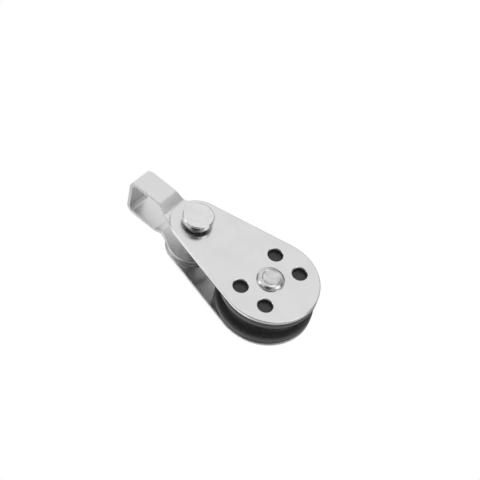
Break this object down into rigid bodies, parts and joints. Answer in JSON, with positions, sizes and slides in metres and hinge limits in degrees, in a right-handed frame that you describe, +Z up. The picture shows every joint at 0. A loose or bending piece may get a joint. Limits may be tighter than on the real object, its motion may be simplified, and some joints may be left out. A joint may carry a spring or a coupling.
{
  "type": "pulley block",
  "caption": "Small single-sheave pulley block: teardrop cheeks, grooved sheave on a riveted axle, and a swinging square strap held by a removable pin with a split ring.",
  "frame": {"origin": "middle of the strap's bend on its inner face, the point the block hangs by", "axes": "+Z up along the block from sheave to strap, Y along the pin and the sheave's axle with the front cheek facing -Y, +X to the right as seen from the front"},
  "size_m": [0.024, 0.0169, 0.0542],
  "materials": {
    "plate_steel": "satin, tumbled",
    "turned_steel": "polished",
    "spring_steel": "bright",
    "nylon": "moulded, satin"
  },
  "bodies": {
    "strap": {"strap": "plate_steel"},
    "block": {"front_cheek": "plate_steel", "rear_cheek": "plate_steel", "axle_sleeve": "turned_steel", "axle_rivet": "turned_steel"},
    "sheave": {"sheave": "nylon"},
    "pin": {"clevis_pin": "turned_steel"},
    "ring": {"split_ring": "spring_steel"}
  },
  "joints": [
    {"name": "block_swing", "type": "hinge", "parent": "strap", "child": "block", "pos_m": [0, 0, -0.0182], "axis": [0, 1, 0], "range_deg": [-83, 83]},
    {"name": "sheave_spin", "type": "hinge", "parent": "block", "child": "sheave", "pos_m": [0, 0, -0.0412], "axis": [0, 1, 0], "continuous": true},
    {"name": "pin_turn", "type": "hinge", "parent": "strap", "child": "pin", "pos_m": [0, 0, -0.0182], "axis": [0, 1, 0], "continuous": true},
    {"name": "ring_flip", "type": "hinge", "parent": "pin", "child": "ring", "pos_m": [0, 0.0069, -0.0182], "axis": [1, 0, 0], "range_deg": [-3, 183]}
  ]
}
